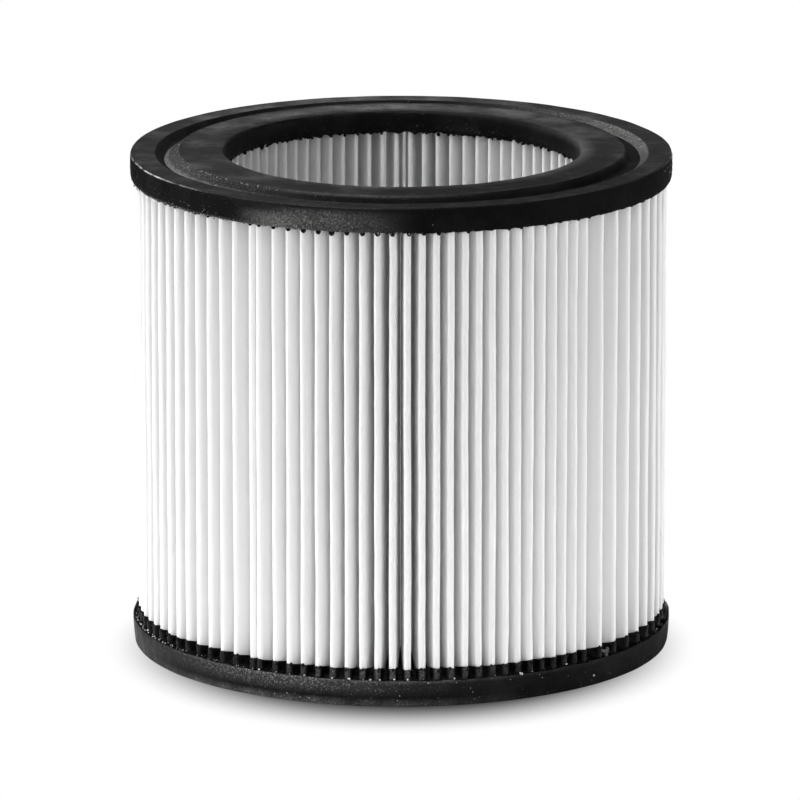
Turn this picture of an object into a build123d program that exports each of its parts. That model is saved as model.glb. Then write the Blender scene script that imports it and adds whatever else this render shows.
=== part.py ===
from build123d import *
from math import asin, cos, degrees, radians, sin
import os

# Pleated filter cartridge, as slid over the cage of a wet and dry vacuum cleaner. One long sheet is
# folded into pleats, bent round into a tube and closed by a glued seam. Each end of the tube is cast
# into a soft black polyurethane ring, so the folds stand in seats of their own shape, and air passes
# from the outside, through the sheet, to the open bore.
# Millimetres. +Z runs up the axis, Z = 0 is the plane that the lower cap stands on, and -Y is the
# front. Azimuths are degrees round from the front, positive towards +X.

# Cartridge
outer_diameter = 187.0
bore_diameter = 122.8
overall_height = 174.0

# Pleated sheet
sheet_thickness = 0.65
crest_width = 2.4           # over the outside of an outer fold
crest_inset = 1.85          # from the caps' side in to the outer folds
root_inset = 0.7            # from the bore's wall out to the inner folds

# Spacing of the pleats: the pack is crowded to the right of the seam and slack elsewhere, and along
# each stretch the pitch starts wide and ends narrow
seam_azimuth = -32.8
gap_after_seam = 4.8        # degrees from the seam to the first outer fold past it
gap_before_seam = 5.4       # degrees from the last outer fold to the seam
crowded_pitches = 23
crowded_sweep = 71.3        # degrees
crowded_drift = 0.08        # share by which the first pitch passes the mean and the last falls short
slack_pitches = 64
slack_drift = 0.14

# Seam
film_thickness = 0.5        # adhesive between the two end leaves
film_setback = 1.5          # from the outer folds in to the adhesive's edge

# Upper end cap: a sealing ring round the bore, a groove, and a rim whose side ends in a thin skirt
upper_thickness = 7.3       # sealing face to underside
rim_drop = 0.8              # the rim's face below the sealing face
rim_width = 8.4
groove_depth = 2.2          # below the rim's face
groove_floor_width = 3.5
groove_outer_slope = 2.6    # radial width of the groove's outer wall
groove_inner_slope = 2.1    # radial width of the groove's inner wall
skirt_drop = 2.1            # the skirt hangs this far below the underside
skirt_gap = 0.4             # from the outer folds to the skirt
upper_seat_depth = 3.0

# Lower end cap: a flat ring, with resin drawn up round the foot of each pleat
lower_thickness = 9.0
foot_rise = 4.2             # resin above the cap's face
foot_coat = 0.35            # resin over the outer folds
foot_notch = 3.0            # depth of the notch between two feet
lower_seat_floor = 3.5      # cap left under the sheet

outer_radius = outer_diameter / 2
bore_radius = bore_diameter / 2
crest_radius = outer_radius - crest_inset
root_radius = bore_radius + root_inset
upper_underside = overall_height - upper_thickness
sheet_bottom = lower_seat_floor
sheet_top = upper_underside + upper_seat_depth
seam_crest_offset = (crest_width + film_thickness) / 2


def polar(radius, azimuth, across=0.0):
    """The point at a radius along the ray at an azimuth, moved across that ray."""
    turn = radians(azimuth)
    return (radius * sin(turn) + across * cos(turn), across * sin(turn) - radius * cos(turn))


def pitched(first, last, pitches, drift):
    """Azimuths after the first up to the last, with pitches that narrow evenly."""
    mean_pitch = (last - first) / pitches
    azimuths = [first]
    for step in range(pitches):
        lean = 1 - 2 * step / (pitches - 1)
        azimuths.append(azimuths[-1] + mean_pitch * (1 + drift * lean))
    return azimuths[1:]


def free_crest_azimuths():
    """Azimuths of the outer folds that are not at the seam, once round from the seam."""
    first = seam_azimuth + gap_after_seam
    middle = first + crowded_sweep
    last = seam_azimuth + 360 - gap_before_seam
    crowded = pitched(first, middle, crowded_pitches, crowded_drift)
    slack = pitched(middle, last, slack_pitches, slack_drift)
    return [first] + crowded + slack


def crest_places():
    """Each outer fold's ray, its offset across that ray, and the azimuth at which it lies."""
    seam_turn = degrees(asin(seam_crest_offset / crest_radius))
    first = [(seam_azimuth, seam_crest_offset, seam_azimuth + seam_turn)]
    free = [(azimuth, 0.0, azimuth) for azimuth in free_crest_azimuths()]
    last = [(seam_azimuth + 360, -seam_crest_offset, seam_azimuth + 360 - seam_turn)]
    return first + free + last


def root_azimuths():
    """Azimuths of the inner folds, each midway between two outer folds."""
    places = [place for ray, offset, place in crest_places()]
    return [(before + after) / 2 for before, after in zip(places, places[1:])]


def sheet_outline():
    """Closed outline of the folded sheet: out along its outer face and back along its inner face."""
    half = crest_width / 2
    inner_half = half - sheet_thickness
    inner_radius = crest_radius - sheet_thickness
    outer_face = [polar(root_radius, seam_azimuth, film_thickness / 2)]
    inner_face = [polar(root_radius, seam_azimuth, film_thickness / 2 + sheet_thickness)]
    roots = root_azimuths()
    for index, (ray, offset, place) in enumerate(crest_places()):
        outer_face += [polar(crest_radius, ray, offset + side * half) for side in (-1, 1)]
        inner_face += [polar(inner_radius, ray, offset + side * inner_half) for side in (-1, 1)]
        if index < len(roots):
            outer_face.append(polar(root_radius + sheet_thickness, roots[index]))
            inner_face += [polar(root_radius, roots[index], side * sheet_thickness) for side in (-1, 1)]
    outer_face.append(polar(root_radius, seam_azimuth, -film_thickness / 2))
    inner_face.append(polar(root_radius, seam_azimuth, -film_thickness / 2 - sheet_thickness))
    return outer_face + inner_face[::-1]


def foot_outline():
    """Outline of the resin feet: a flat over each outer fold and a notch between two of them."""
    tip_radius = crest_radius + foot_coat
    half = crest_width / 2 + foot_coat
    crests = crest_places()
    roots = root_azimuths()
    points = []
    for index, (ray, offset, place) in enumerate(crests):
        if index > 0:
            points.append(polar(tip_radius, ray, offset - half))
        if index < len(roots):
            points.append(polar(tip_radius, ray, offset + half))
            points.append(polar(crest_radius - foot_notch, roots[index]))
    return points


def prism(outline, bottom, top):
    """The solid that stands on a closed outline between two heights."""
    face = make_face(Polyline(*outline, close=True))
    return Pos(0, 0, bottom) * extrude(face, top - bottom)


def ring(profile):
    """The solid swept round the axis by a closed profile of (radius, height) points."""
    return revolve(Plane.XZ * make_face(Polyline(*profile, close=True)), Axis.Z)


def pleated_media():
    """The folded sheet, open at the seam."""
    return prism(sheet_outline(), sheet_bottom, sheet_top)


def seam_adhesive():
    """The film that bonds the two end leaves, face to face with both."""
    half = film_thickness / 2
    outer_edge = crest_radius - film_setback
    corners = ((root_radius, -half), (outer_edge, -half), (outer_edge, half), (root_radius, half))
    outline = [polar(radius, seam_azimuth, across) for radius, across in corners]
    return prism(outline, sheet_bottom, sheet_top)


def upper_ring():
    """The upper cap before the sheet's seat is cut in it."""
    rim_face = overall_height - rim_drop
    groove_floor = rim_face - groove_depth
    groove_edge = outer_radius - rim_width
    floor_outer = groove_edge - groove_outer_slope
    floor_inner = floor_outer - groove_floor_width
    sealing_edge = floor_inner - groove_inner_slope
    skirt_radius = crest_radius + skirt_gap
    skirt_bottom = upper_underside - skirt_drop
    return ring([
        (bore_radius, upper_underside),
        (bore_radius, overall_height),
        (sealing_edge, overall_height),
        (floor_inner, groove_floor),
        (floor_outer, groove_floor),
        (groove_edge, rim_face),
        (outer_radius, rim_face),
        (outer_radius, skirt_bottom),
        (skirt_radius, upper_underside),
    ])


def lower_ring():
    """The lower cap before the resin feet are added."""
    return ring([
        (bore_radius, 0),
        (outer_radius, 0),
        (outer_radius, lower_thickness),
        (bore_radius, lower_thickness),
    ])


def resin_feet():
    """The resin drawn up round the pleats, filled back to the bore."""
    feet = prism(foot_outline(), lower_thickness, lower_thickness + foot_rise)
    bore = Pos(0, 0, lower_thickness) * extrude(Circle(bore_radius), foot_rise)
    return feet - bore


media = pleated_media()
adhesive = seam_adhesive()
nodes = {
    "pleated_media": media,
    "seam_adhesive": adhesive,
    "upper_end_cap": upper_ring() - media - adhesive,
    "lower_end_cap": lower_ring() + resin_feet() - media - adhesive,
}

os.makedirs("parts", exist_ok=True)
for name, shape in nodes.items():
    export_step(shape, f"parts/{name}.step")
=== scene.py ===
import math
import random
from collections import namedtuple

import bmesh
import bpy
from mathutils import Matrix, Vector, noise


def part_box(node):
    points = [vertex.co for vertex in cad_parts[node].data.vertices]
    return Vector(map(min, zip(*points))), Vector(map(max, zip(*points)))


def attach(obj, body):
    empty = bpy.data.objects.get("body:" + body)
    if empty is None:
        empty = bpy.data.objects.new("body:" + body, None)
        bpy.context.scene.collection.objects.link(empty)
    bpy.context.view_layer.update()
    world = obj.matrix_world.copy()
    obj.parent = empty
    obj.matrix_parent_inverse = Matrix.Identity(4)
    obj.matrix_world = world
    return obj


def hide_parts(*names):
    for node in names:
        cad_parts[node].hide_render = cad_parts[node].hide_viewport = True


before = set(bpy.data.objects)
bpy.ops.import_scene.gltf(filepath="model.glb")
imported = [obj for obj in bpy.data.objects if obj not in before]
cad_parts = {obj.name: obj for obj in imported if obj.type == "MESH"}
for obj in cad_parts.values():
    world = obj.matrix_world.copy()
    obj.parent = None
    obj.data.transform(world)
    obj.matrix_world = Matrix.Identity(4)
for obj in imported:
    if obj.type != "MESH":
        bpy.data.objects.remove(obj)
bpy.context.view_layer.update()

MM = 0.001

# ---------------------------------------------------------------------------
# Sizes in metres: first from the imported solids, then the cartridge's own measures
# ---------------------------------------------------------------------------
upper_low, upper_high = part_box("upper_end_cap")
lower_low, lower_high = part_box("lower_end_cap")
media_low, media_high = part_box("pleated_media")

OUTER_RADIUS = upper_high.x
TOP = upper_high.z
SKIRT_BOTTOM = upper_low.z
FOOT_TOP = lower_high.z
SHEET_BOTTOM = media_low.z
SHEET_TOP = media_high.z

CREST_RADIUS = OUTER_RADIUS - 1.85 * MM
BORE_RADIUS = 61.4 * MM
ROOT_RADIUS = BORE_RADIUS + 0.7 * MM
RIM_FACE = TOP - 0.8 * MM
UNDERSIDE = TOP - 7.3 * MM

SHEET_THICKNESS = 0.65 * MM
CREST_WIDTH = 2.4 * MM
FILM_THICKNESS = 0.5 * MM

# Spacing of the pleats. Azimuths are in degrees, from 0 at the front to 90 at the right.
SEAM_AZIMUTH = -32.8
GAP_AFTER_SEAM = 4.8
GAP_BEFORE_SEAM = 5.4
CROWDED_PITCHES = 23
CROWDED_SWEEP = 71.3
CROWDED_DRIFT = 0.08
SLACK_PITCHES = 64
SLACK_DRIFT = 0.14


def smoothstep(low, high, value):
    t = min(1.0, max(0.0, (value - low) / (high - low)))
    return t * t * (3 - 2 * t)


def inside(value, limits):
    return limits[0] < value < limits[1]


def near(azimuth, stretch):
    """1 at the middle azimuth of a stretch (middle, reach), fading to 0 at its reach."""
    middle, reach = stretch
    away = abs((azimuth - middle + 180) % 360 - 180)
    return 1 - smoothstep(0.0, 1.0, away / reach)


def on_ray(radius, azimuth, across=0.0):
    """The x and y of a point at a radius on the ray at an azimuth, moved across that ray."""
    turn = math.radians(azimuth)
    x = radius * math.sin(turn) + across * math.cos(turn)
    y = across * math.sin(turn) - radius * math.cos(turn)
    return x, y


# ---------------------------------------------------------------------------
# Where the folds are
# ---------------------------------------------------------------------------
# An outer fold: the ray it stands on, its offset across that ray, and the azimuth at which it lies
Crest = namedtuple("Crest", "ray offset azimuth")


def pitched(first, last, pitches, drift):
    """Azimuths after the first, up to the last, with pitches that shrink evenly from wide to narrow."""
    mean_pitch = (last - first) / pitches
    azimuths = [first]
    for step in range(pitches):
        lean = 1 - 2 * step / (pitches - 1)
        azimuths.append(azimuths[-1] + mean_pitch * (1 + drift * lean))
    return azimuths[1:]


def find_crests():
    """All outer folds, from the one right of the seam round to the one left of it."""
    offset = (CREST_WIDTH + FILM_THICKNESS) / 2
    seam_turn = math.degrees(math.asin(offset / CREST_RADIUS))
    first = SEAM_AZIMUTH + GAP_AFTER_SEAM
    middle = first + CROWDED_SWEEP
    last = SEAM_AZIMUTH + 360 - GAP_BEFORE_SEAM
    free = [first] + pitched(first, middle, CROWDED_PITCHES, CROWDED_DRIFT)
    free += pitched(middle, last, SLACK_PITCHES, SLACK_DRIFT)
    crests = [Crest(SEAM_AZIMUTH, offset, SEAM_AZIMUTH + seam_turn)]
    crests += [Crest(azimuth, 0.0, azimuth) for azimuth in free]
    crests.append(Crest(SEAM_AZIMUTH + 360, -offset, SEAM_AZIMUTH + 360 - seam_turn))
    return crests


CRESTS = find_crests()
ROOTS = [(before.azimuth + after.azimuth) / 2 for before, after in zip(CRESTS, CRESTS[1:])]

# ---------------------------------------------------------------------------
# Mesh helpers
# ---------------------------------------------------------------------------
SECTORS = 15
ROUNDING_SEGMENTS = 3
MERGE_DISTANCE = 2e-6

# The skin of a cast, a value for each vertex: grit roughens it and crowds its pale grains,
# gloss makes it shine, and pale lightens it: chalky crumbs and flecks, and also painted highlights, painted sheen
# and painted glints
SKIN = ("grit", "gloss", "pale")


def finished(name, bm, smooth=True):
    """A piece from a bmesh, with its place in its mesh."""
    mesh = bpy.data.meshes.new(name)
    bm.to_mesh(mesh)
    bm.free()
    for face in mesh.polygons:
        face.use_smooth = smooth
    piece = bpy.data.objects.new(name, mesh)
    bpy.context.scene.collection.objects.link(piece)
    return piece


def turned_ring(profile, steps):
    """A bmesh ring with skin layers, turned from a closed profile of (radius, height, rounding) corners.

    One sector is spun in steps and the others are copies of it, which is much faster."""
    bm = bmesh.new()
    for name in SKIN:
        bm.verts.layers.float.new(name)
    corners = [bm.verts.new((radius, 0, height)) for radius, height, _ in profile]
    for start, end in zip(corners, corners[1:] + corners[:1]):
        bm.edges.new((start, end))
    for corner, (_, _, rounding) in zip(corners, profile):
        if rounding:
            bmesh.ops.bevel(bm, geom=[corner], offset=rounding, offset_type="OFFSET", profile=0.5,
                            segments=ROUNDING_SEGMENTS, affect="VERTICES", material=-1, clamp_overlap=True)
    sector = math.tau / SECTORS
    bmesh.ops.spin(bm, geom=bm.verts[:] + bm.edges[:], cent=(0, 0, 0), axis=(0, 0, 1),
                   angle=sector, steps=steps // SECTORS, use_merge=False, use_duplicate=False)
    bmesh.ops.spin(bm, geom=bm.verts[:] + bm.edges[:] + bm.faces[:], cent=(0, 0, 0), axis=(0, 0, 1),
                   angle=math.tau - sector, steps=SECTORS - 1, use_merge=False, use_duplicate=True)
    bmesh.ops.remove_doubles(bm, verts=bm.verts, dist=MERGE_DISTANCE)
    bmesh.ops.recalc_face_normals(bm, faces=bm.faces)
    return bm


def set_skin(bm, verts, *skin):
    """Gives vertices their skin, in the order of SKIN."""
    for name, value in zip(SKIN, skin):
        layer = bm.verts.layers.float[name]
        for vert in verts:
            vert[layer] = value


# ---------------------------------------------------------------------------
# Pleated sheet
# ---------------------------------------------------------------------------
CREST_STEPS = 6
ROOT_STEPS = 4
LEAF_STEPS = 5
SHEET_ROWS = 24
ROOT_PLAY = 0.05 * MM
FREED_OVER = 12 * MM  # height over which a pleat comes free of its cap
SEAM_HOLDS = (1.0, 3.0)  # folds from the seam at which its hold begins to fade and is gone

# A small movement of the pleats: what sets its noise apart, its length along the height and its size
Movement = namedtuple("Movement", "key length size")
SLOW_SWAY = Movement(0, 70 * MM, 0.30 * MM)
QUICK_SWAY = Movement(500, 11 * MM, 0.14 * MM)
SLOW_PUSH = Movement(900, 50 * MM, 0.25 * MM)
QUICK_PUSH = Movement(1400, 9 * MM, 0.12 * MM)
BELLY = Movement(50, 40 * MM, 0.35 * MM)


def moved_by(movement, key, height):
    """How far a movement takes one fold, or one leaf, at a height."""
    key = key + movement.key
    return noise.noise(Vector((key * 7.31, key * 3.17, height / movement.length))) * movement.size


def arc(ray, offset, centre_radius, bend, outwards, steps):
    """Points round one fold: (ray, across, radius)."""
    points = []
    for step in range(steps + 1):
        turn = math.pi * step / steps
        across = offset - bend * math.cos(turn)
        points.append((ray, across, centre_radius + outwards * bend * math.sin(turn)))
    return points


def fold_line():
    """The sheet's middle line from one raw end to the other, as (point, key).

    The key counts the folds: a whole number on a fold, and a share more on the leaf after it."""
    crest_bend = (CREST_WIDTH - SHEET_THICKNESS) / 2
    root_bend = SHEET_THICKNESS / 2 + ROOT_PLAY
    crest_centre = CREST_RADIUS - SHEET_THICKNESS / 2 - crest_bend
    root_centre = ROOT_RADIUS + SHEET_THICKNESS / 2 + root_bend
    end_across = (FILM_THICKNESS + SHEET_THICKNESS) / 2
    folds = [[(SEAM_AZIMUTH, end_across, ROOT_RADIUS)]]
    for index, crest in enumerate(CRESTS):
        folds.append(arc(crest.ray, crest.offset, crest_centre, crest_bend, 1, CREST_STEPS))
        if index < len(ROOTS):
            folds.append(arc(ROOTS[index], 0.0, root_centre, root_bend, -1, ROOT_STEPS))
    folds.append([(SEAM_AZIMUTH, -end_across, ROOT_RADIUS)])
    folds = [[Vector(on_ray(radius, ray, across)) for ray, across, radius in fold] for fold in folds]
    line = []
    for key, points in enumerate(folds):
        line += [(point, key) for point in points]
        if key + 1 < len(folds):
            for step in range(1, LEAF_STEPS):
                share = step / LEAF_STEPS
                line.append((points[-1].lerp(folds[key + 1][0], share), key + share))
    return line


def make_sheet():
    """The pleated sheet, a grid laid along the fold line, with a small movement of its own in each pleat."""
    line = fold_line()
    columns = len(line) - 1
    last_key = len(CRESTS) + len(ROOTS) + 1
    bm = bmesh.new()
    bmesh.ops.create_grid(bm, x_segments=columns, y_segments=SHEET_ROWS, size=0.5)
    for vert in bm.verts:
        point, key = line[round((vert.co.x + 0.5) * columns)]
        height = SHEET_BOTTOM + (vert.co.y + 0.5) * (SHEET_TOP - SHEET_BOTTOM)
        out = smoothstep(ROOT_RADIUS, CREST_RADIUS, point.length)
        free = smoothstep(FOOT_TOP, FOOT_TOP + FREED_OVER, height)
        free *= 1 - smoothstep(UNDERSIDE - FREED_OVER, UNDERSIDE, height)
        loose = smoothstep(*SEAM_HOLDS, min(abs(key), abs(last_key - key)))
        fold = round(key)
        sway = moved_by(SLOW_SWAY, fold, height) + moved_by(QUICK_SWAY, fold, height)
        push = moved_by(SLOW_PUSH, fold, height) + moved_by(QUICK_PUSH, fold, height)
        belly = moved_by(BELLY, key * 2, height) * (1 - abs(2 * out - 1))
        radial = point.normalized()
        tangent = Vector((-radial.y, radial.x))
        moved = point + tangent * (sway * out + belly) * free * loose + radial * push * out * free
        vert.co = (moved.x, moved.y, height)
    bmesh.ops.recalc_face_normals(bm, faces=bm.faces)
    sheet = finished("pleated_sheet", bm)
    wall = sheet.modifiers.new("thickness", "SOLIDIFY")
    wall.thickness = SHEET_THICKNESS
    wall.offset = 0
    wall.use_even_offset = True
    return sheet


# ---------------------------------------------------------------------------
# Cast end caps: what both share
# ---------------------------------------------------------------------------
TIP_STEPS = 8
VALLEY_STEPS = 4
FINE, COARSE = 2, 1  # subdivisions of a bead

# A column of a cap's mesh: its azimuth, its place from -1 to 1 across the tip of a fold, or None in
# the valley after it, and the index of that fold
Column = namedtuple("Column", "azimuth tip index")


class Spot:
    """A point of a cap, which the shape functions move up, down, in or out and give its skin."""

    def __init__(self, radius, height, column):
        self.radius = radius
        self.height = height
        self.azimuth, self.tip, self.index = column
        self.grit = 0.0
        self.gloss = 0.5
        self.pale = 0.0


def columns_round(half_fold):
    """Columns all round a cap, crowded over the tips of the folds."""
    columns = []
    turn = math.degrees(math.asin(half_fold / CREST_RADIUS))
    nexts = [crest.azimuth for crest in CRESTS[1:]] + [CRESTS[0].azimuth + 360]
    for index, (crest, after) in enumerate(zip(CRESTS, nexts)):
        for step in range(TIP_STEPS + 1):
            tip = -math.cos(math.pi * step / TIP_STEPS)
            columns.append(Column(crest.azimuth + turn * tip, tip, index))
        gap_start = crest.azimuth + turn
        gap_end = after - turn
        for step in range(1, VALLEY_STEPS):
            share = step / VALLEY_STEPS
            columns.append(Column(gap_start + (gap_end - gap_start) * share, None, index))
    return columns


def cast_ring(profile, columns, shape):
    """A bmesh ring whose columns stand at their azimuths and whose points went through shape."""
    bm = turned_ring(profile, len(columns))
    count = len(columns)
    for vert in bm.verts:
        turn = math.atan2(vert.co.y, vert.co.x) % math.tau
        column = columns[round(turn / math.tau * count) % count]
        spot = Spot(math.hypot(vert.co.x, vert.co.y), vert.co.z, column)
        shape(spot)
        vert.co = (*on_ray(spot.radius, spot.azimuth), spot.height)
        set_skin(bm, [vert], max(0.0, min(1.0, spot.grit)), spot.gloss, spot.pale)
    return bm


def bead(bm, azimuth, radius, height, width, tall, grit=0.0, gloss=1.0, pale=0.0, rounds=FINE):
    """A drop of set resin, a pale fleck, or a pale bead that paints a glint, half sunk in the cast."""
    turned = Matrix.Rotation(math.radians(azimuth), 4, "Z")
    stretched = Matrix.Diagonal((width / 2, width / 2, tall / 2, 1))
    place = Matrix.Translation((*on_ray(radius, azimuth), height)) @ turned @ stretched
    made = bmesh.ops.create_icosphere(bm, subdivisions=rounds, radius=1.0, matrix=place)
    set_skin(bm, made["verts"], grit, gloss, pale)


def uneven(azimuth, height, size, scale, radius=OUTER_RADIUS):
    """Small unevenness of a cast face, up to a size, with swells as long as the scale."""
    x, y = on_ray(radius, azimuth)
    return noise.noise(Vector((x / scale, y / scale, height / scale))) * size


# ---------------------------------------------------------------------------
# Upper end cap
# ---------------------------------------------------------------------------
GROOVE_FLOOR = RIM_FACE - 2.2 * MM
GROOVE_EDGE = OUTER_RADIUS - 8.4 * MM
SEALING_EDGE = GROOVE_EDGE - 8.2 * MM

# Faces of the cap, as limits of radius or height a little past their corners
INNER_SLOPE = (SEALING_EDGE - 0.2 * MM, SEALING_EDGE + 2.4 * MM)
OUTER_SLOPE = (GROOVE_EDGE - 2.7 * MM, GROOVE_EDGE + 0.2 * MM)
GROOVE_BED = (SEALING_EDGE + 2.3 * MM, GROOVE_EDGE - 2.6 * MM)
FLATS = (BORE_RADIUS + 2 * MM, OUTER_RADIUS - 1.5 * MM)
RIM_SIDE_IN = OUTER_RADIUS - 0.8 * MM
RIM_EDGE = (RIM_FACE - 0.4 * MM, RIM_FACE - 0.04 * MM)

# Stretches round the cap, as (middle azimuth, reach)
# The slopes' stretches set grit, and with pale colour they also paint the glitter of the light on the slopes
GRIT_AND_PAINTED_GLITTER_INNER_SLOPE = (-70, 60)
DRAWN_INNER_SLOPE = (-78, 72)
GRIT_AND_PAINTED_GLITTER_OUTER_SLOPE = (112, 60)
ROUGH_RIM_END = (88, 24)
GRITTY_RIM = (-50, 60)
# A painted sheen and a painted sheen streak on the rim's side
PAINTED_SHEEN_RIM = (-15, 20)
PAINTED_SHEEN_STREAK_RIM = (-28, 10)
CRUSTED_SKIRT = (-55, 32)
PALE_SKIRT = (-55, 40)
# A painted highlight line along the rim's top edge
PAINTED_HIGHLIGHT_RIM_EDGE = (-66, 24)
DULL_FLATS = (30, 90)
GLOSSY_FLATS = (190, 80)
# Painted highlights along the sealing edge and the groove's edge
PAINTED_HIGHLIGHT_EDGES = (-12, 42)
# The bore's upper edge is set back at the right and carries a painted highlight there
BORE_SET_BACK_AND_PAINTED_LIT = (90, 60)
HUNG_DROPS = (-12, 30)
LEFT_FLECKS = (-56, 36)
FRONT_FLECKS = (-4, 20)

# Azimuths between which the rim's side turns dull and dark, and between which it turns back
CALM_BEGINS = (-9, 5)
CALM_ENDS = (66, 84)

# Painted glints, as pale beads, and flecks: how many, their sizes in millimetres, and their azimuths as (mean,
# spread)
INNER_GLINTS = (340, (0.22, 0.28, 0.4), (-62, 16))
OUTER_GLINTS = (200, (0.18, 0.24, 0.34), (118, 24))
RIM_GLINTS = (150, (0.2, 0.26, 0.34), ((-27, 4), (-14, 9), (-55, 12)))
RIM_END_FLECKS = (60, (0.3, 0.4, 0.6), (87, 5))


def upper_profile():
    """Corners of the upper cap's section, from the foot of its bore up and outwards: radius, height, rounding."""
    return [
        # Bore
        (BORE_RADIUS, UNDERSIDE, 0),
        (BORE_RADIUS, UNDERSIDE + 1.2 * MM, 0),
        (BORE_RADIUS, TOP - 3.0 * MM, 0),
        (BORE_RADIUS, TOP, 1.1 * MM),
        # Sealing ring, with a slight ridge at its edge
        (BORE_RADIUS + 6 * MM, TOP - 0.05 * MM, 0),
        (SEALING_EDGE - 3 * MM, TOP - 0.05 * MM, 0),
        (SEALING_EDGE - 0.7 * MM, TOP - 0.12 * MM, 0),
        (SEALING_EDGE - 0.1 * MM, TOP, 0.2 * MM),
        # Groove
        (SEALING_EDGE + 0.75 * MM, TOP - 1.0 * MM, 0),
        (SEALING_EDGE + 1.4 * MM, TOP - 2.0 * MM, 0),
        (SEALING_EDGE + 2.1 * MM, GROOVE_FLOOR, 0.3 * MM),
        (SEALING_EDGE + 2.7 * MM, GROOVE_FLOOR - 0.05 * MM, 0),
        (GROOVE_EDGE - 3.1 * MM, GROOVE_FLOOR - 0.05 * MM, 0),
        (GROOVE_EDGE - 2.5 * MM, GROOVE_FLOOR, 0.3 * MM),
        (GROOVE_EDGE - 1.3 * MM, (GROOVE_FLOOR + RIM_FACE) / 2, 0),
        # Rim
        (GROOVE_EDGE, RIM_FACE, 0.35 * MM),
        (GROOVE_EDGE + 1.0 * MM, RIM_FACE - 0.1 * MM, 0),
        (OUTER_RADIUS - 1.6 * MM, RIM_FACE - 0.1 * MM, 0),
        (OUTER_RADIUS - 0.1 * MM, RIM_FACE, 0.5 * MM),
        (OUTER_RADIUS, RIM_FACE - 2.5 * MM, 0),
        (OUTER_RADIUS, RIM_FACE - 5.0 * MM, 0),
        # Edge of the skirt
        (OUTER_RADIUS - 0.05 * MM, SKIRT_BOTTOM + 1.2 * MM, 0),
        (OUTER_RADIUS - 0.2 * MM, SKIRT_BOTTOM + 0.4 * MM, 0),
        (OUTER_RADIUS - 0.45 * MM, SKIRT_BOTTOM, 0.15 * MM),
        # Hidden face above the pleats
        (CREST_RADIUS + 0.1 * MM, SKIRT_BOTTOM + 0.1 * MM, 0),
        (CREST_RADIUS - 1.2 * MM, UNDERSIDE - 0.6 * MM, 0),
        (CREST_RADIUS - 2.6 * MM, UNDERSIDE, 0),
        (ROOT_RADIUS + 1.8 * MM, UNDERSIDE, 0),
    ]


def shape_groove(spot):
    """Gritty slopes, paler on their lit stretches as painted glitter, with a painted highlight line at the inner
    slope's foot; a dull bed with fewer pale grains as a little painted shade; the inner slope leans further out
    where the foam was drawn up.
    """
    drawn = near(spot.azimuth, DRAWN_INNER_SLOPE)
    if inside(spot.radius, INNER_SLOPE) and spot.height > GROOVE_FLOOR - 0.1 * MM:
        # Painted glitter: grit, gloss and pale rise together on the lit stretch, and pale paints a highlight line
        # at the foot
        gritty = near(spot.azimuth, GRIT_AND_PAINTED_GLITTER_INNER_SLOPE)
        painted_line_at_foot = spot.height < GROOVE_FLOOR + 0.4 * MM
        spot.grit = 0.1 + 0.9 * gritty
        spot.gloss = 0.1 + 0.6 * gritty
        spot.pale = (0.025 + 0.12 * painted_line_at_foot) * gritty
        if spot.height < TOP - 0.5 * MM:
            spot.radius += 1.1 * (spot.radius - SEALING_EDGE) * drawn
    if inside(spot.radius, OUTER_SLOPE) and spot.height > GROOVE_FLOOR - 0.1 * MM:
        # Painted glitter on the lit stretch of the outer slope
        gritty = near(spot.azimuth, GRIT_AND_PAINTED_GLITTER_OUTER_SLOPE)
        spot.grit = 0.1 + 0.9 * gritty
        spot.gloss = 0.05 + 0.6 * gritty
        spot.pale = 0.10 * gritty
    if inside(spot.radius, GROOVE_BED) and spot.height < GROOVE_FLOOR + 0.1 * MM:
        # Fewer pale grains keep the bed darker: a little painted shade in the recess
        spot.grit = 0.05
        spot.gloss = 0.0
        if spot.radius < SEALING_EDGE + 3 * MM:
            spot.radius += 2.2 * MM * drawn


def shape_rim_side(spot):
    """Gritty left of the front, with a painted sheen and a lower painted sheen streak there, calm right of it,
    ragged along the edge of the skirt, and with a painted highlight line along its top edge.
    """
    azimuth = spot.azimuth
    calm = smoothstep(*CALM_BEGINS, azimuth) * (1 - smoothstep(*CALM_ENDS, azimuth))
    spot.grit = (0.08 + 0.15 * uneven(azimuth, spot.height, 1.0, 14 * MM)) * (1 - calm)
    spot.grit += 0.7 * near(azimuth, ROUGH_RIM_END)
    spot.grit += 0.2 * near(azimuth, GRITTY_RIM) * (1 - calm)
    spot.gloss = 0.4 - 0.32 * calm
    if spot.height < RIM_FACE - 2 * MM:
        # Painted sheen: a pale, gritty patch on the front-left of the side
        painted_sheen = near(azimuth, PAINTED_SHEEN_RIM)
        spot.grit += 0.5 * painted_sheen
        spot.pale = 0.05 * painted_sheen * (1.3 + uneven(azimuth, spot.height * 4, 1.0, 9 * MM))
        if spot.height < RIM_FACE - 4.5 * MM:
            # Painted sheen streak low on the side
            spot.pale += 0.10 * near(azimuth, PAINTED_SHEEN_STREAK_RIM)
    if spot.height < SKIRT_BOTTOM + 1 * MM:
        spot.grit += 0.5 * near(azimuth, CRUSTED_SKIRT) + 0.25 * (1 - calm)
        spot.pale += 0.06 * near(azimuth, PALE_SKIRT)
        spot.height += uneven(azimuth, 0.0, 0.35 * MM, 1.3 * MM)
    if inside(spot.height, RIM_EDGE):
        # Painted highlight: a broken pale line along the rim's top edge, strongest at the front-left
        broken = 1 + 2 * uneven(azimuth, 0.0, 1.0, 4 * MM)
        spot.grit += 0.3
        spot.pale = 0.02 * (1 - calm) + 0.34 * near(azimuth, PAINTED_HIGHLIGHT_RIM_EDGE) * broken


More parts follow.
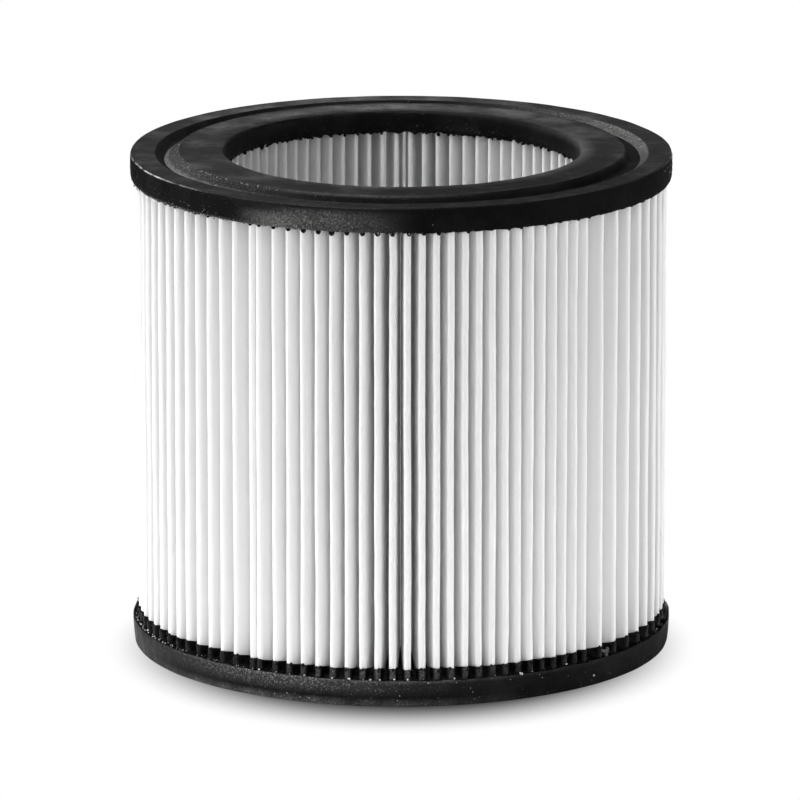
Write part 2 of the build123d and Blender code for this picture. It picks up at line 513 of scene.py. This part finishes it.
def shape_bore(spot):
    """Upper edge set back further at the right, with a painted highlight on it there, and a ragged lower edge."""
    set_back_and_lit = near(spot.azimuth, BORE_SET_BACK_AND_PAINTED_LIT)
    if spot.radius < BORE_RADIUS + 1.3 * MM and spot.height > TOP - 1.5 * MM:
        # Painted highlight on the wider rounded edge
        spot.pale = 0.05 * set_back_and_lit
        spot.radius += 0.5 * MM * set_back_and_lit
    if spot.radius < BORE_RADIUS + 0.9 * MM and spot.height < UNDERSIDE + 1.5 * MM:
        spot.grit = 0.5
        if spot.height < UNDERSIDE + 0.5 * MM:
            spot.height -= 0.25 * MM + uneven(spot.azimuth, 0.0, 0.9 * MM, 1.6 * MM, BORE_RADIUS)


def shape_upper(spot):
    """Each face in turn: a later one takes the point as the earlier ones left it."""
    azimuth = spot.azimuth
    spot.grit = 0.2
    shape_groove(spot)
    if spot.radius > RIM_SIDE_IN:
        shape_rim_side(spot)
    if spot.height > RIM_FACE - 0.2 * MM and inside(spot.radius, FLATS):
        spot.gloss = 0.5 - 0.28 * near(azimuth, DULL_FLATS) + 0.2 * near(azimuth, GLOSSY_FLATS)
    # Painted highlights along the sealing edge and the groove's edge, at the front
    if abs(spot.radius - SEALING_EDGE + 0.1 * MM) < 0.15 * MM or abs(spot.radius - GROOVE_EDGE) < 0.2 * MM:
        spot.pale += 0.05 * near(azimuth, PAINTED_HIGHLIGHT_EDGES)
    shape_bore(spot)
    spot.radius += uneven(azimuth, spot.height, 0.14 * MM, 10 * MM)
    spot.height += uneven(azimuth, spot.radius, 0.10 * MM, 13 * MM, spot.radius)
    spot.height = min(spot.height, TOP)


def hang_drops(bm, dice):
    """Drops and flecks along the edge of the skirt, and drops under the edge of the bore."""
    for crest in CRESTS:
        place = crest.azimuth
        hung = 0.25 + 0.75 * near(place, HUNG_DROPS) * dice.uniform(0.7, 1.0)
        if dice.random() < 0.35 + hung:
            bead(bm, place + dice.uniform(0.0, 0.5), CREST_RADIUS + dice.uniform(0.2, 0.5) * MM,
                 SKIRT_BOTTOM - dice.uniform(-0.1, 0.25) * MM * hung,
                 (1.0 + 1.3 * hung) * MM, (1.1 + 2.1 * hung) * MM)
        flecked = 9 * near(place, LEFT_FLECKS) + 5 * near(place, FRONT_FLECKS)
        for _ in range(int(flecked + dice.random())):
            bead(bm, place + dice.uniform(-2, 2), OUTER_RADIUS - dice.uniform(0.05, 0.35) * MM,
                 SKIRT_BOTTOM + dice.uniform(-0.2, 0.6) * MM, dice.uniform(0.25, 0.6) * MM,
                 dice.uniform(0.25, 0.6) * MM, grit=1.0, pale=0.1 + 0.7 * dice.random() ** 2, rounds=COARSE)
    for root in ROOTS:
        for _ in range(dice.choice((1, 1, 2))):
            size = dice.uniform(0.7, 1.5) * MM
            bead(bm, root + dice.uniform(-1.6, 1.0), BORE_RADIUS + dice.uniform(0.1, 0.6) * MM,
                 UNDERSIDE - dice.uniform(0.1, 0.7) * MM, size, size * dice.uniform(0.8, 1.6))


def strew_slope(bm, dice, glints, edge, foot):
    """Painted glints, as pale beads, down a slope of the groove, from its edge to its foot, both as (radius,
    height).
    """
    count, sizes, azimuths = glints
    for _ in range(count):
        size = dice.choice(sizes) * MM
        down = dice.random()
        radius, height = (start + (end - start) * down for start, end in zip(edge, foot))
        bead(bm, dice.gauss(*azimuths), radius, height, size, size,
             pale=0.1 + 0.9 * dice.random() ** 3, rounds=COARSE)


def strew_rim(bm, dice):
    """Painted glints, as pale beads, on the side of the rim, and flecks at its rough end."""
    count, sizes, spreads = RIM_GLINTS
    for _ in range(count):
        size = dice.choice(sizes) * MM
        azimuth = dice.choice([dice.gauss(*spread) for spread in spreads])
        bead(bm, azimuth, OUTER_RADIUS - 0.1 * MM, SKIRT_BOTTOM + dice.uniform(0.4, 4.5) * MM,
             size, size, pale=dice.uniform(0.1, 0.6), rounds=COARSE)
    count, sizes, azimuths = RIM_END_FLECKS
    for _ in range(count):
        size = dice.choice(sizes) * MM
        bead(bm, dice.gauss(*azimuths), OUTER_RADIUS - 0.1 * MM, RIM_FACE - dice.uniform(0.2, 7.0) * MM,
             size, size * dice.uniform(0.6, 1.5), grit=1.0, pale=dice.uniform(0.1, 0.6), rounds=COARSE)


def make_upper_cap():
    bm = cast_ring(upper_profile(), columns_round(CREST_WIDTH / 2), shape_upper)
    dice = random.Random(11)
    hang_drops(bm, dice)
    strew_slope(bm, dice, INNER_GLINTS, (SEALING_EDGE + 0.1 * MM, TOP - 0.1 * MM),
                (SEALING_EDGE + 2.1 * MM, TOP - 2.9 * MM))
    strew_slope(bm, dice, OUTER_GLINTS, (GROOVE_EDGE - 0.1 * MM, RIM_FACE),
                (GROOVE_EDGE - 2.4 * MM, RIM_FACE - 2.1 * MM))
    strew_rim(bm, dice)
    return finished("upper_cap_cast", bm)


# ---------------------------------------------------------------------------
# Lower end cap
# ---------------------------------------------------------------------------
SHOULDER = 9.2 * MM
SLEEVE = 0.35 * MM  # resin outside the tip of a fold
SLEEVE_HALF = CREST_WIDTH / 2 + 0.3 * MM
TIP_RADIUS = CREST_RADIUS + SLEEVE
WALL_BACK = 5.5 * MM  # from the tips in to the wall between them
WALL_LAID_BACK = 4 * MM  # corners less far in than this are moved to that wall

# Faces of the cap, as limits of radius or height
LIP_IN = OUTER_RADIUS - 1.0 * MM
LIP_BAND = (6 * MM, SHOULDER + 0.2 * MM)
LIP_BASE = 0.7 * MM
LIP_TOP = 8.5 * MM
LEDGE = (8 * MM, SHOULDER + 0.1 * MM)
FOOT_SLOPE = 0.25  # fall of a foot's top for each unit inwards

# Stretches round the cap, as (middle azimuth, reach)
FIN = (91, 7)
GRANULAR_LIP = (-26, 48)
# Painted highlight lines along the base and along the top of the lip
PAINTED_HIGHLIGHT_BASE = (-25, 60)
PAINTED_HIGHLIGHT_LIP_TOP = (-15, 70)
# A painted highlight down the middle of the feet's tips
PAINTED_HIGHLIGHT_FEET = (-4, 36)
GLINTING_LEDGE = (-62, 34)
FLECKED_FEET = (5, 60)

# Specks, lumps and painted glints, as pale beads: how many, and their azimuths as (mean, spread)
LIP_SPECKS = (110, (-5, 30))
CLUMP = (16, (49.5, 0.55))
FIN_GLINTS = (14, (90, 2.5))

# Crumbs that stand out: azimuth, radius, height, size, paleness
CRUMBS = (
    (26.0, OUTER_RADIUS - 0.2 * MM, SHOULDER, 1.2 * MM, 0.8),
    (45.0, OUTER_RADIUS - 0.3 * MM, 3.6 * MM, 1.0 * MM, 0.45),
    (-11.0, TIP_RADIUS + 0.5 * MM, SHOULDER, 1.0 * MM, 0.9),
    (-6.5, TIP_RADIUS + 0.8 * MM, SHOULDER, 1.1 * MM, 0.4),
)


def lower_profile():
    """Corners of the lower cap's section, from its base up the outside and back in: radius, height, rounding."""
    return [
        # Base
        (BORE_RADIUS, 0, 0.4 * MM),
        (OUTER_RADIUS - 0.7 * MM, 0, 0.5 * MM),
        # Side and lip
        (OUTER_RADIUS - 0.35 * MM, 3.0 * MM, 0),
        (OUTER_RADIUS - 0.12 * MM, 6.4 * MM, 0),
        (OUTER_RADIUS - 0.02 * MM, 7.8 * MM, 0),
        (OUTER_RADIUS - 0.05 * MM, SHOULDER, 0.3 * MM),
        # Sunk ledge at the foot of the pleats
        (OUTER_RADIUS - 0.75 * MM, SHOULDER - 0.45 * MM, 0),
        (OUTER_RADIUS - 1.15 * MM, SHOULDER - 0.8 * MM, 0),
        (TIP_RADIUS + 0.02 * MM, SHOULDER - 0.6 * MM, 0),
        # Resin feet
        (TIP_RADIUS, SHOULDER + 0.6 * MM, 0),
        (TIP_RADIUS, FOOT_TOP - 1.8 * MM, 0),
        (TIP_RADIUS, FOOT_TOP - 0.9 * MM, 0),
        (TIP_RADIUS, FOOT_TOP - 0.2 * MM, 0),
        (TIP_RADIUS - 0.4 * MM, FOOT_TOP, 0),
        (TIP_RADIUS - 3 * MM, FOOT_TOP, 0),
        (TIP_RADIUS - 9 * MM, FOOT_TOP, 0),
        (TIP_RADIUS - 14 * MM, FOOT_TOP, 0),
        # Bore
        (BORE_RADIUS + 1.2 * MM, FOOT_TOP, 0),
        (BORE_RADIUS, FOOT_TOP - 0.1 * MM, 0.4 * MM),
        (BORE_RADIUS, 6 * MM, 0),
    ]


def shape_lip(spot, fin):
    """The cap's side: granular above, with a painted highlight line at the base and along the lip."""
    azimuth = spot.azimuth
    broken = 1 + uneven(azimuth, 0.0, 1.0, 5 * MM)
    spot.grit = 0.15 + 0.15 * uneven(azimuth, spot.height, 1.0, 14 * MM)
    if inside(spot.height, LIP_BAND):
        spot.grit += 0.9 * near(azimuth, GRANULAR_LIP)
        spot.pale = 0.045 * near(azimuth, GRANULAR_LIP)
    if spot.height < LIP_BASE:
        spot.grit = 0.5
        # Painted highlight: a broken pale line along the base
        spot.pale = 0.08 * broken * near(azimuth, PAINTED_HIGHLIGHT_BASE)
    if spot.height > LIP_TOP:
        # Painted highlight: a broken pale line along the top of the lip
        spot.pale += 0.05 * near(azimuth, PAINTED_HIGHLIGHT_LIP_TOP) * broken
        spot.height += uneven(azimuth, 3.0, 0.3 * MM, 6 * MM) + 0.9 * MM * fin


def shape_feet(spot, back):
    """Feet of uneven height with a painted highlight down the middle of each tip, and between them a wall set back
    from the tips.
    """
    spot.gloss = 0.7
    if spot.tip is None or abs(spot.tip) > 0.999:
        if back < WALL_LAID_BACK:
            spot.radius = TIP_RADIUS - max(back * 0.5, 0.0) - WALL_BACK
    elif back < 0.6 * MM:
        # Painted highlight: the middle of each tip is paler and grittier, with dark glossy sides
        grey = (1 - smoothstep(0.35, 0.8, abs(spot.tip))) * (0.2 + 0.8 * near(spot.azimuth, PAINTED_HIGHLIGHT_FEET))
        spot.grit = 0.15 + 0.55 * grey
        spot.gloss = 0.75 - 0.2 * grey
        spot.pale = 0.08 * grey
        spot.radius = TIP_RADIUS - SLEEVE_HALF + SLEEVE_HALF * math.sqrt(1 - spot.tip * spot.tip) - back
        spot.radius += uneven(spot.azimuth, spot.height, 0.45 * MM, 1.6 * MM) - 0.08 * MM
    rise = noise.noise(Vector((spot.index * 2.9, 4.5, 0.7)))
    top = FOOT_TOP - FOOT_SLOPE * (TIP_RADIUS - spot.radius) + min(0.0, 0.5 * MM * (rise - 0.5))
    top += uneven(spot.azimuth, 0.0, 0.5 * MM, 1.1 * MM)
    spot.height = SHOULDER + (spot.height - SHOULDER) * min(1.0, (top - SHOULDER) / (FOOT_TOP - SHOULDER))


def shape_lower(spot):
    """One face for each point, and then the slow unevenness, which stays inside the outer radius."""
    spot.grit = 0.12
    fin = near(spot.azimuth, FIN)
    back = TIP_RADIUS - spot.radius
    if spot.radius > LIP_IN:
        shape_lip(spot, fin)
    elif inside(spot.height, LEDGE) and back < 0.1 * MM:
        spot.grit = 0.45
        spot.gloss = 1.0
        spot.height += uneven(spot.azimuth, 5.0, 0.5 * MM, 2.4 * MM) + 3.2 * MM * fin
    elif spot.height > SHOULDER and spot.radius > BORE_RADIUS + 2 * MM:
        shape_feet(spot, back)
    spot.radius += uneven(spot.azimuth, spot.height, 0.12 * MM, 10 * MM)
    spot.radius = min(spot.radius, OUTER_RADIUS)


def strew_feet(bm, dice):
    """Drops on the tips of the feet, and drops, painted glints as pale beads, and flecks on the ledge below them.
    """
    for crest in CRESTS:
        place = crest.azimuth
        for _ in range(dice.choice((1, 2, 2))):
            size = dice.uniform(0.7, 1.3) * MM
            bead(bm, place + dice.uniform(-0.7, 0.7), TIP_RADIUS - dice.uniform(0.2, 0.5) * MM,
                 FOOT_TOP - dice.uniform(0.5, 1.2) * MM, size, size, grit=0.6, gloss=0.8)
        for _ in range(dice.choice((1, 2, 3))):
            size = dice.uniform(0.5, 1.4) * MM
            bead(bm, place + dice.uniform(-2.0, 2.0), TIP_RADIUS + dice.uniform(0.0, 0.6) * MM,
                 SHOULDER - dice.uniform(0.0, 0.6) * MM, size, size * 0.7, grit=0.3)
        # Painted glints: pale beads on the ledge, many at the far left
        for _ in range(int(7 * near(place, GLINTING_LEDGE) + dice.random())):
            size = dice.choice((0.25, 0.35, 0.5)) * MM
            bead(bm, place + dice.uniform(-2.0, 2.0), TIP_RADIUS + dice.uniform(0.1, 1.0) * MM,
                 SHOULDER - dice.uniform(-0.4, 0.3) * MM, size, size, pale=dice.uniform(0.3, 1.0), rounds=COARSE)
        if dice.random() < 0.25 + 0.6 * near(place, FLECKED_FEET):
            size = dice.choice((0.3, 0.4, 0.55, 0.75)) * MM
            bead(bm, place + dice.uniform(0.0, 0.6), TIP_RADIUS + dice.uniform(0.2, 0.6) * MM,
                 SHOULDER - dice.uniform(-0.35, 0.1) * MM, size, size, pale=dice.uniform(0.5, 1.0), rounds=COARSE)


def strew_side(bm, dice):
    """Specks on the cap's side, a clump of crumbs right of the front, painted glints as pale beads on the fin, and
    single crumbs.
    """
    count, spread = LIP_SPECKS
    for _ in range(count):
        size = dice.choice((0.2, 0.25, 0.3, 0.45)) * MM
        height = dice.uniform(1.5, 8.5) * MM
        azimuth = dice.choice((dice.uniform(-180, 180), dice.gauss(*spread)))
        radius = OUTER_RADIUS - 0.55 * MM * (1 - height / (9 * MM)) - 0.05 * MM
        bead(bm, azimuth, radius, height, size, size, pale=dice.uniform(0.3, 0.8), rounds=COARSE)
    count, spread = CLUMP
    for _ in range(count):
        size = dice.uniform(0.6, 1.3) * MM
        bead(bm, dice.gauss(*spread), TIP_RADIUS + dice.uniform(0.0, 0.5) * MM,
             SHOULDER + dice.uniform(-0.3, 2.6) * MM, size, size, grit=1.0, gloss=0.7, pale=0.12)
    count, spread = FIN_GLINTS
    # Painted glints: pale beads on the fin
    for _ in range(count):
        size = dice.choice((0.3, 0.5, 0.8)) * MM
        bead(bm, dice.gauss(*spread), TIP_RADIUS + dice.uniform(0.2, 1.2) * MM,
             SHOULDER + dice.uniform(-0.2, 2.0) * MM, size, size * 0.6, pale=dice.uniform(0.2, 0.7), rounds=COARSE)
    for azimuth, radius, height, size, pale in CRUMBS:
        bead(bm, azimuth, radius, height, size, size * 0.8, grit=0.5, pale=pale)


def make_lower_cap():
    bm = cast_ring(lower_profile(), columns_round(SLEEVE_HALF), shape_lower)
    dice = random.Random(23)
    strew_feet(bm, dice)
    strew_side(bm, dice)
    return finished("lower_cap_cast", bm)


# ---------------------------------------------------------------------------
# Materials
# ---------------------------------------------------------------------------
def new_material(name):
    material = bpy.data.materials.new(name)
    material.use_nodes = True
    tree = material.node_tree
    shader = tree.nodes["Principled BSDF"]
    return material, tree, shader


def fill(tree, socket, value):
    """Links an input to an output, or sets it to a plain value."""
    if isinstance(value, bpy.types.NodeSocket):
        tree.links.new(value, socket)
    else:
        socket.default_value = value


def add(tree, kind, **settings):
    """A new node. A setting is one of its inputs, with _ for a space in the name, or one of its properties."""
    node = tree.nodes.new(kind)
    for key, value in settings.items():
        name = key.replace("_", " ")
        if name in node.inputs:
            fill(tree, node.inputs[name], value)
        else:
            setattr(node, key, value)
    return node


def object_place(tree):
    return add(tree, "ShaderNodeTexCoord").outputs["Object"]


def cloudy(tree, place, **settings):
    """Value of a noise texture at a place."""
    return add(tree, "ShaderNodeTexNoise", Vector=place, **settings).outputs["Fac"]


def compute(tree, operation, *values, **settings):
    node = add(tree, "ShaderNodeMath", operation=operation, **settings)
    for socket, value in zip(node.inputs, values):
        fill(tree, socket, value)
    return node.outputs["Value"]


def length_of(tree, vector):
    return add(tree, "ShaderNodeVectorMath", operation="LENGTH", Vector=vector).outputs["Value"]


def remap(tree, value, low, high, to_low=0.0, to_high=1.0, curve="LINEAR"):
    """A value from between low and high, brought to between to_low and to_high."""
    node = add(tree, "ShaderNodeMapRange", interpolation_type=curve, Value=value,
               From_Min=low, From_Max=high, To_Min=to_low, To_Max=to_high)
    return node.outputs["Result"]


def blend(tree, factor, first, second):
    """A colour between two, each given as a grey or colour tuple or as an output."""
    return add(tree, "ShaderNodeMix", data_type="RGBA", Factor=factor, A=first, B=second).outputs["Result"]


def bumped(tree, height, **settings):
    return add(tree, "ShaderNodeBump", Height=height, **settings).outputs["Normal"]


def black_polyurethane():
    """Skinned black polyurethane foam: nearly black, gritty where the skin broke, glossy where it ran."""
    material, tree, shader = new_material("black_polyurethane")
    shader.inputs["Specular IOR Level"].default_value = 0.055
    place = object_place(tree)
    grit, gloss, pale = (add(tree, "ShaderNodeAttribute", attribute_name=name).outputs["Fac"] for name in SKIN)

    # Pale grains, closer together where the face is gritty, on a skin with duller clouds; over them pale chalk,
    # which is real crumbs and flecks in some places and painted highlights, sheen and glints in others
    speck = cloudy(tree, place, Scale=1500.0, Detail=3.0, Roughness=0.7)
    cloud = cloudy(tree, place, Scale=60.0, Detail=3.0, Roughness=0.6)
    crowded = compute(tree, "MULTIPLY_ADD", grit, 0.16, speck)
    grains = remap(tree, crowded, 0.66, 0.86, 0.0, 0.7, curve="SMOOTHSTEP")
    dusty = remap(tree, cloud, 0.45, 0.75)
    skin = blend(tree, dusty, (0.0018, 0.0018, 0.0019, 1), (0.0095, 0.0095, 0.0097, 1))
    grained = blend(tree, grains, skin, (0.16, 0.16, 0.16, 1))
    # Painted light: where pale is set for highlights, sheen or glints, this chalk colour paints them
    chalk_and_painted_light = compute(tree, "MULTIPLY", pale, remap(tree, speck, 0.35, 0.65, 0.3, 1.4))
    flecked = blend(tree, chalk_and_painted_light, grained, (0.75, 0.75, 0.73, 1))
    fill(tree, shader.inputs["Base Color"], flecked)

    # Dull, cloudy satin, or the shine of resin that ran
    shine = remap(tree, gloss, 0.0, 1.0, 0.90, 0.10)
    bloom = remap(tree, cloud, 0.35, 0.65, -0.14, 0.16)
    fill(tree, shader.inputs["Roughness"], compute(tree, "ADD", shine, bloom, use_clamp=True))

    # Relief: slow swells, rings left by the turned mould, and grit
    swell = cloudy(tree, place, Scale=140.0, Detail=3.0, Roughness=0.5)
    slow = bumped(tree, swell, Strength=0.5, Distance=0.0008)
    split = add(tree, "ShaderNodeSeparateXYZ", Vector=place)
    x, y, z = (split.outputs[axis] for axis in "XYZ")
    flat = add(tree, "ShaderNodeCombineXYZ", X=x, Y=y)
    across = compute(tree, "ADD", length_of(tree, flat.outputs["Vector"]), z)
    along = compute(tree, "MULTIPLY", compute(tree, "ARCTAN2", y, x), 0.004)
    ring_place = add(tree, "ShaderNodeCombineXYZ", X=across, Y=along)
    rings = cloudy(tree, ring_place.outputs["Vector"], Scale=900.0, Detail=2.0, Roughness=0.5)
    turned = bumped(tree, rings, Strength=0.28, Distance=0.0005, Normal=slow)
    grain = cloudy(tree, place, Scale=1300.0, Detail=3.0, Roughness=0.65)
    rough = remap(tree, grit, 0.0, 1.0, 0.12, 0.9)
    fast = bumped(tree, grain, Strength=rough, Distance=0.0006, Normal=turned)
    fill(tree, shader.inputs["Normal"], fast)
    return material


def toned(tree, value, dark, light, start=0.0):
    """A colour ramp's colour for a value, from dark at the start to light at 1."""
    ramp = add(tree, "ShaderNodeValToRGB", Fac=value)
    first, last = ramp.color_ramp.elements
    first.position, first.color = start, dark
    last.position, last.color = 1.0, light
    return ramp.outputs["Color"]


def white_fleece():
    """Bonded polyester fleece: a tangle of fine fibres that lets some light through."""
    material, tree, shader = new_material("white_fleece")
    shader.inputs["Roughness"].default_value = 0.95
    shader.inputs["Specular IOR Level"].default_value = 0.15
    shader.inputs["Subsurface Weight"].default_value = 1.0
    shader.inputs["Subsurface Radius"].default_value = (1.0, 1.0, 1.0)
    shader.inputs["Subsurface Scale"].default_value = 0.0030
    fibres = cloudy(tree, object_place(tree), Scale=1100.0, Detail=5.0, Roughness=0.6,
                    noise_type="RIDGED_MULTIFRACTAL")
    tone = toned(tree, fibres, (0.93, 0.93, 0.93, 1), (0.98, 0.98, 0.98, 1), start=0.2)
    fill(tree, shader.inputs["Base Color"], tone)
    fill(tree, shader.inputs["Normal"], bumped(tree, fibres, Strength=0.2, Distance=0.0002))
    return material


def seam_glue():
    """Cloudy, slightly yellow hot-melt film."""
    material, tree, shader = new_material("seam_glue")
    shader.inputs["Roughness"].default_value = 0.5
    cloud = cloudy(tree, object_place(tree), Scale=300.0, Detail=2.0)
    tone = toned(tree, cloud, (0.62, 0.60, 0.55, 1), (0.80, 0.78, 0.73, 1))
    fill(tree, shader.inputs["Base Color"], tone)
    return material


def dress(piece, material):
    piece.data.materials.clear()
    piece.data.materials.append(material)


# ---------------------------------------------------------------------------
# The cartridge
# ---------------------------------------------------------------------------
polyurethane = black_polyurethane()
fleece = white_fleece()

sheet = make_sheet()
dress(sheet, fleece)
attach(sheet, "root")
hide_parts("pleated_media")

upper_cap = make_upper_cap()
dress(upper_cap, polyurethane)
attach(upper_cap, "root")
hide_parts("upper_end_cap")

lower_cap = make_lower_cap()
dress(lower_cap, polyurethane)
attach(lower_cap, "root")
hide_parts("lower_end_cap")

dress(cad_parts["seam_adhesive"], seam_glue())


# ---------------------------------------------------------------------------
# Floor, light and camera
# ---------------------------------------------------------------------------
FLOOR_RADIUS = 0.42
FLOOR_SEGMENTS = 96
FLOOR_TONE = 0.85
FLOOR_TONE_PAINTED_SHADOW = 0.07  # in the camera's own rays: a painted shadow at the part's foot, much deeper than the real one

# The pool of painted shadow round the part: its shift, its stretch, and where it fades into plain white
PAINTED_SHADOW_SHIFT = (0.0, 0.012, 0.0)
PAINTED_SHADOW_STRETCH = (1.13, 1.0, 1.0)
PAINTED_SHADOW_FADES = (OUTER_RADIUS - 0.0150, OUTER_RADIUS + 0.0235)


def grey(value):
    return (value, value, value, 1)


def make_floor():
    """A round white table whose far parts show as plain white; near the part the camera sees it nearly black, a
    painted shadow pool that adds to the part's own shadow and fades into the white.
    """
    bm = bmesh.new()
    bmesh.ops.create_circle(bm, cap_ends=True, segments=FLOOR_SEGMENTS, radius=FLOOR_RADIUS)
    floor = finished("floor", bm, smooth=False)
    material, tree, shader = new_material("white_floor_painted_shadow")
    shader.inputs["Roughness"].default_value = 0.9
    shader.inputs["Specular IOR Level"].default_value = 0.0
    painted_shadow_pool = add(tree, "ShaderNodeMapping", Vector=object_place(tree), Location=PAINTED_SHADOW_SHIFT, Scale=PAINTED_SHADOW_STRETCH)
    fade = remap(tree, length_of(tree, painted_shadow_pool.outputs["Vector"]), *PAINTED_SHADOW_FADES, curve="SMOOTHSTEP")
    seen = add(tree, "ShaderNodeLightPath").outputs["Is Camera Ray"]
    # Painted shadow: in the camera's own rays the floor near the part is nearly black
    fill(tree, shader.inputs["Base Color"], blend(tree, seen, grey(FLOOR_TONE), grey(FLOOR_TONE_PAINTED_SHADOW)))
    white = add(tree, "ShaderNodeEmission", Color=grey(1), Strength=1.0)
    mix = add(tree, "ShaderNodeMixShader", Fac=compute(tree, "MULTIPLY", fade, seen))
    fill(tree, mix.inputs[1], shader.outputs["BSDF"])
    fill(tree, mix.inputs[2], white.outputs["Emission"])
    fill(tree, tree.nodes["Material Output"].inputs["Surface"], mix.outputs["Shader"])
    dress(floor, material)


# Strength of the light from all round
AMBIENT = 0.1

# Soft lights: name, azimuth, elevation, distance in metres, width and height in metres, power in watts
LIGHTS = (
    ("left_side", -90, 14, 1.6, (0.8, 0.8), 5),
    ("left_front", -58, 14, 1.6, (0.8, 0.8), 10),
    ("front", 2, 12, 1.6, (0.8, 0.8), 7.5),
    ("right_side", 84, 3, 1.6, (0.8, 0.3), 13),
    ("overhead", -90, 76, 1.5, (0.9, 0.9), 34),
    ("backdrop", 180, 14, 1.6, (2.0, 0.8), 3.8),
)


def soft_light(name, azimuth, elevation, distance, size, power):
    """A rectangular soft light that faces the middle of the cartridge."""
    lamp = bpy.data.lights.new(name, "AREA")
    lamp.shape = "RECTANGLE"
    lamp.size, lamp.size_y = size
    lamp.energy = power
    holder = bpy.data.objects.new(name, lamp)
    bpy.context.scene.collection.objects.link(holder)
    x, y = on_ray(distance * math.cos(math.radians(elevation)), azimuth)
    middle = Vector((0, 0, TOP / 2))
    holder.location = middle + Vector((x, y, distance * math.sin(math.radians(elevation))))
    holder.rotation_euler = (middle - holder.location).to_track_quat("-Z", "Y").to_euler()


def make_world():
    """Faint light from all round, behind which the camera sees plain white."""
    world = bpy.data.worlds.new("studio")
    bpy.context.scene.world = world
    world.use_nodes = True
    tree = world.node_tree
    ambient = tree.nodes["Background"]
    ambient.inputs["Color"].default_value = grey(1)
    ambient.inputs["Strength"].default_value = AMBIENT
    white = add(tree, "ShaderNodeBackground", Color=grey(1), Strength=1.0)
    seen = add(tree, "ShaderNodeLightPath").outputs["Is Camera Ray"]
    mix = add(tree, "ShaderNodeMixShader", Fac=seen)
    fill(tree, mix.inputs[1], ambient.outputs["Background"])
    fill(tree, mix.inputs[2], white.outputs["Background"])
    fill(tree, tree.nodes["World Output"].inputs["Surface"], mix.outputs["Shader"])


CAMERA_DISTANCE = 3.134
CAMERA_ELEVATION = 13.6
CAMERA_SENSOR = 36
CAMERA_LENS = 406.2
CAMERA_SHIFT = (-0.0015, -0.0156)
CAMERA_REACH = 20
AIM_HEIGHT = RIM_FACE - 0.9 * OUTER_RADIUS


def make_camera():
    camera = bpy.data.cameras.new("camera")
    camera.sensor_width = CAMERA_SENSOR
    camera.lens = CAMERA_LENS
    camera.shift_x, camera.shift_y = CAMERA_SHIFT
    camera.clip_end = CAMERA_REACH
    holder = bpy.data.objects.new("camera", camera)
    bpy.context.scene.collection.objects.link(holder)
    elevation = math.radians(CAMERA_ELEVATION)
    aim = Vector((0, 0, AIM_HEIGHT))
    away = Vector((0, -math.cos(elevation), math.sin(elevation)))
    holder.location = aim + away * CAMERA_DISTANCE
    holder.rotation_euler = (-away).to_track_quat("-Z", "Y").to_euler()
    bpy.context.scene.camera = holder


make_floor()
make_world()
for light in LIGHTS:
    soft_light(*light)
make_camera()
bpy.context.scene.view_settings.view_transform = "Standard"
bpy.context.scene.cycles.diffuse_bounces = 8  # enough to light the depth between the pleats
